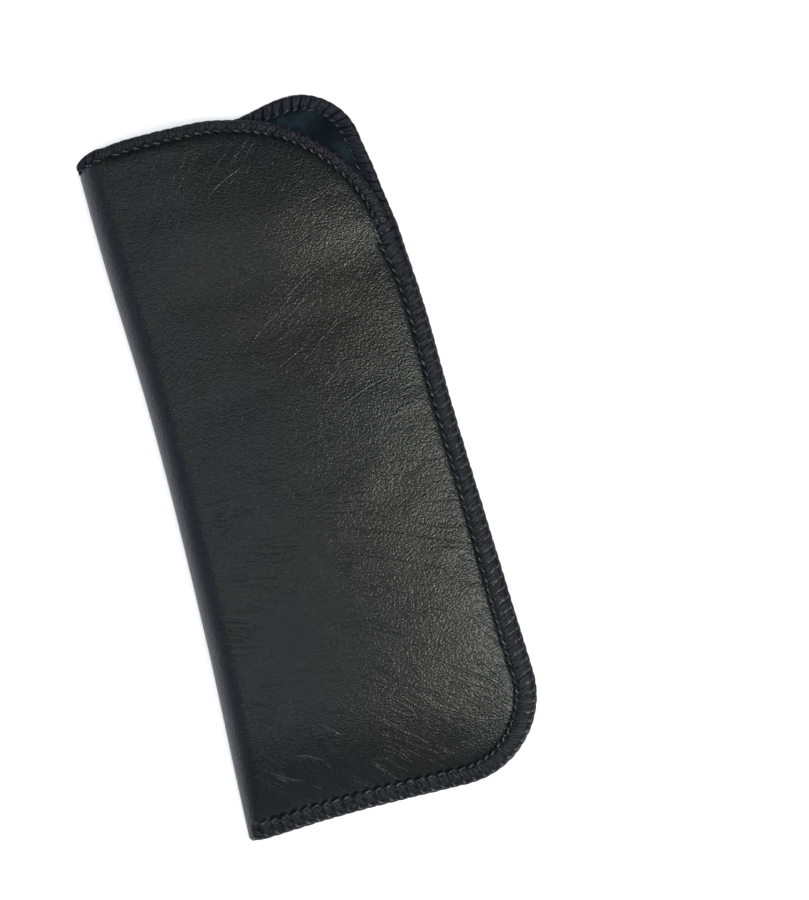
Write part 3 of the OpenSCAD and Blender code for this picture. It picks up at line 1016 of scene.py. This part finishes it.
def lining_material():
    """Short velour pile, mottled where it is brushed."""
    n = Nodes("lining_velour")
    pile, nap = n.noise(n.coords, 2300.0, 4.0), n.noise(n.coords, 160.0, 3.0)
    n.bump(n.total((pile, 0.7), (nap, 0.5)), 0.9, 0.0004)
    dark, plain, light = (0.0022, 0.0034, 0.0060), (0.0042, 0.0076, 0.0102), (0.0090, 0.0180, 0.0215)
    n.surface({
        "Base Color": n.ramp(nap, [(0.34, dark), (0.52, plain), (0.68, light)]),
        "Roughness": 0.95,
        "Specular IOR Level": 0.15,
        "Sheen Weight": 0.03,
        "Sheen Roughness": 0.45,
        "Sheen Tint": (0.35, 0.55, 0.65, 1),
    })
    return n.material


def foam_material():
    """Dark open-cell foam, seen only between stitches."""
    n = Nodes("foam_open_cell")
    cells = n.add("ShaderNodeTexVoronoi", {"Vector": n.coords, "Scale": 2400.0}, feature="F1")
    cells = cells.outputs["Distance"]
    n.bump(cells, 0.7, 0.0003)
    # Painted shade: the foam is coloured darker towards the middle of each cell, where the bump makes its
    # hollows.
    colour = n.ramp(cells, [(0.0, (0.010, 0.010, 0.011)), (0.6, (0.030, 0.030, 0.032))])
    n.surface({"Base Color": colour, "Roughness": 0.95})
    return n.material


def thread_material(name, dark, light, shine):
    """Fluffy polyester: the fibres that stand off it swallow light that grazes it."""
    n = Nodes(name)
    fibres, curls = n.noise(n.coords, 5200.0, 3.0), n.noise(n.coords, 1500.0, 2.0)
    n.bump(n.total((fibres, 0.35), (curls, 1.0)), 0.9, 0.0003)
    n.surface({
        "Base Color": n.ramp(n.total((fibres, 0.3), (curls, 0.7)), [(0.42, dark), (0.60, light)]),
        "Specular IOR Level": n.ramp(n.facing(), [(0.08, shine), (0.42, 0.02)]),
        "Roughness": 0.36,
    })
    return n.material


def floor_material():
    n = Nodes("floor_paper")
    n.surface({"Base Color": (0.93, 0.93, 0.93, 1), "Roughness": 0.9})
    return n.material


leather = leather_material()
velour = lining_material()
foam = foam_material()
looper_thread = thread_material("looper_thread", (0.0005, 0.0006, 0.0018), (0.0070, 0.0078, 0.0155), 0.75)
# Painted highlight: the needle thread's tones, its light one most, are set well above the loopers' to stand
# in for its glints.
needle_thread = thread_material("needle_thread", (0.0040, 0.0043, 0.0060), (0.052, 0.054, 0.060), 0.80)

# Mesh columns round the fold, columns across a panel and rows along it: where a face shows, and under it
FINE, COARSE = (34, 120, 330), (17, 60, 165)
# Layers of the laminate: record slot, material, depths of the two faces, inset of the edge, the CAD nodes
# that the back and the front stand for, and the meshes of the back and the front
LAYERS = [
    ("cover", leather, (0, COVER_IN - SKIN_GAP), RAW_INSET, ("outer_cover", "lip_cover"), (COARSE, FINE)),
    ("foam", foam, (COVER_IN, FOAM_IN), FOAM_INSET, ("foam_padding", "lip_foam"), (COARSE, COARSE)),
    ("lining", velour, (FOAM_IN + SKIN_GAP, LAMINATE), RAW_INSET, ("lining", "lip_lining"), (FINE, COARSE)),
]

# Looper stitches: a strand's radius, the spacing of a bundle's strands, how far a stitch leans along the
# run, its height, how far it turns over the edge in degrees, and how much wider its bundle is there
CLOSING_UPPER = dict(radius=0.15, spacing=0.25, lean=0.75, rise=THREAD_RISE, deep=93, spread=1.7)
CLOSING_LOWER = dict(radius=0.16, spacing=0.25, lean=-0.40, rise=0.42, deep=93, spread=1.7)
MOUTH_UPPER = dict(radius=0.145, spacing=0.24, lean=0.30, rise=0.40, deep=92, spread=1.35)
MOUTH_LOWER = dict(radius=0.155, spacing=0.26, lean=-0.45, rise=0.36, deep=92, spread=1.35)
CLOSING_PLY, MOUTH_PLY = 0.19, 0.17


def finish_piece(obj, material, slot, body, node):
    """Gives a piece its material, the CAD node that it stands for, and its body; its record slot is not used.
    """
    obj.data.materials.append(material)
    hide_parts(node)
    if body == "bends":
        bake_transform(obj)
    else:
        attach(obj, body)


def build_sheets():
    """The laminate's layers, each as a front with the fold and a back."""
    fronts, backs = [], []
    for slot, material, depths, inset, (back_node, front_node), (back_mesh, front_mesh) in LAYERS:
        faces = [wrap_grid(*front_mesh, depth, inset) for depth in depths]
        front = shell(slot + "_front_and_fold", *faces)
        finish_piece(front, material, slot, "bends", front_node)
        faces = [back_grid(*back_mesh[1:], depth, inset) for depth in depths]
        back = shell(slot + "_back", *faces, flip=True)
        finish_piece(back, material, slot, "case", back_node)
        fronts.append(front)
        backs.append(back)
    return fronts, backs


def sew(name, run, body, first, last, faces, upper, lower, ply):
    """The three threads of an overlock run, over the stitches from first to last."""
    upper_face, lower_face = faces
    over = looper_paths(run, upper_face, first, last, upper)
    under = looper_paths(run, lower_face, first, last, lower)
    stitches = needle_paths(run, first, last - 1, ply)
    if name == "mouth":
        stitches += needle_paths(run, first, last - 1, ply, lower_face)
    pieces = [
        ("_upper_looper", over, upper["radius"], looper_thread),
        ("_lower_looper", under, lower["radius"], looper_thread),
        ("_needle", stitches, ply, needle_thread),
    ]
    for part, paths, radius, material in pieces:
        thread = thread_object(name + part, [tube(path, radius) for path in paths])
        finish_piece(thread, material, "thread", body, name + part + "_thread")


def build_threads():
    closing = ClosingRun()
    stitches = int(closing.length / closing.pitch)
    sew("closing", closing, "case", 0, stitches, ("front", "back"), CLOSING_UPPER, CLOSING_LOWER, CLOSING_PLY)
    mouth = MouthRun()
    stitches = int(mouth.length / mouth.pitch)
    lip = int(round(mouth.lip_start / mouth.pitch))
    sew("mouth", mouth, "case", 0, lip, ("front", "inside"), MOUTH_UPPER, MOUTH_LOWER, MOUTH_PLY)
    sew("lip", mouth, "bends", lip, stitches, ("front", "inside"), MOUTH_UPPER, MOUTH_LOWER, MOUTH_PLY)


def declare_soft(fronts, backs):
    """Goes over the sheets but does nothing: no flat size is stated for them."""
    for front in fronts:
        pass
    for back in backs:
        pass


# Floor, camera and light, in metres
# ------------------------
FLOOR_HALF = 2.0
FLOOR_DROP = 0.0002

# The camera looks straight down on the case, which lies turned in the picture
CAMERA_TURN = -14.18
CAMERA_OVER = (0.0207, -0.00363, 0.004)
CAMERA_DISTANCE = 0.8
VIEW_HEIGHT = 0.2094

COOL, WARM, DAYLIGHT = (0.97, 0.98, 1.0), (1.0, 0.99, 0.97), (0.46, 0.58, 1.0)
# Area lights: name, place, target, size, watts, colour, and whether reflections show it
LIGHTS = [
    ("key", (0.325, -0.125, 0.455), (0.028, -0.04, 0), (0.11, 0.11), 1.25, (0.98, 1.0, 0.94), True),
    ("window", (-0.10, -0.08, 0.90), (0, 0, 0), (0.50, 0.32), 0.86, (0.98, 0.99, 1.0), True),
    ("left_wall", (-0.60, 0.0, 0.52), (0, 0, 0), (0.45, 0.9), 0.72, DAYLIGHT, True),
    ("front_wall", (-0.10, -0.66, 0.56), (0, 0, 0), (0.6, 0.35), 0.14, (1.0, 0.99, 0.94), True),
    ("overhead", (0.02, 0, 1.0), (0.02, 0, 0), (0.6, 0.6), 10.5, (1, 1, 1), False),
    ("low_right", (0.75, -0.1, 0.62), (0, 0, 0), (0.7, 0.3), 0.9, WARM, False),
    ("low_top", (0.1, 0.75, 0.62), (0, 0, 0), (0.7, 0.3), 0.9, COOL, False),
    ("low_bottom", (0.1, -0.75, 0.62), (0, 0, 0), (0.7, 0.3), 0.9, WARM, False),
    ("low_left", (-0.75, 0.05, 0.62), (0, 0, 0), (0.7, 0.3), 1.7, COOL, False),
]
# The room: pale at the horizon and dim overhead, so that dark leather stays dark from above
ROOM = [(0.15, (0.50, 0.52, 0.58)), (0.5, (0.18, 0.20, 0.25)), (0.85, (0.06, 0.06, 0.065))]


def make_floor():
    mesh = bpy.data.meshes.new("floor")
    corners = [(FLOOR_HALF * a, FLOOR_HALF * b, 0) for a, b in ((-1, -1), (1, -1), (1, 1), (-1, 1))]
    mesh.from_pydata(corners, [], [(0, 1, 2, 3)])
    floor = bpy.data.objects.new("floor", mesh)
    floor.location.z = -FLOOR_DROP
    floor.data.materials.append(floor_material())
    bpy.context.scene.collection.objects.link(floor)


def make_camera():
    camera = bpy.data.cameras.new("camera")
    camera.lens = camera.sensor_width * CAMERA_DISTANCE / VIEW_HEIGHT
    obj = bpy.data.objects.new("camera", camera)
    obj.location = Vector(CAMERA_OVER) + Vector((0, 0, CAMERA_DISTANCE))
    obj.rotation_euler = (0, 0, math.radians(CAMERA_TURN))
    bpy.context.scene.collection.objects.link(obj)
    bpy.context.scene.camera = obj


def area_light(name, place, target, size, watts, colour, in_reflections):
    light = bpy.data.lights.new(name, "AREA")
    light.shape = "RECTANGLE"
    light.size, light.size_y = size
    light.energy = watts
    light.color = colour
    obj = bpy.data.objects.new(name, light)
    obj.location = place
    obj.rotation_euler = (Vector(target) - Vector(place)).to_track_quat("-Z", "Y").to_euler()
    obj.visible_camera = False
    obj.visible_glossy = in_reflections
    bpy.context.scene.collection.objects.link(obj)


def make_world():
    world = bpy.data.worlds.new("studio")
    world.use_nodes = True
    tree = world.node_tree
    coords = tree.nodes.new("ShaderNodeTexCoord")
    split = tree.nodes.new("ShaderNodeSeparateXYZ")
    ramp = tree.nodes.new("ShaderNodeValToRGB")
    tree.links.new(coords.outputs["Generated"], split.inputs[0])
    tree.links.new(split.outputs["Z"], ramp.inputs[0])
    tree.links.new(ramp.outputs[0], tree.nodes["Background"].inputs["Color"])
    set_stops(ramp.color_ramp, ROOM)
    bpy.context.scene.world = world


make_camera()
for light in LIGHTS:
    area_light(*light)
make_world()
bpy.context.scene.view_settings.view_transform = "Standard"
make_floor()
settled.settle()
fronts, backs = build_sheets()
build_threads()
declare_soft(fronts, backs)
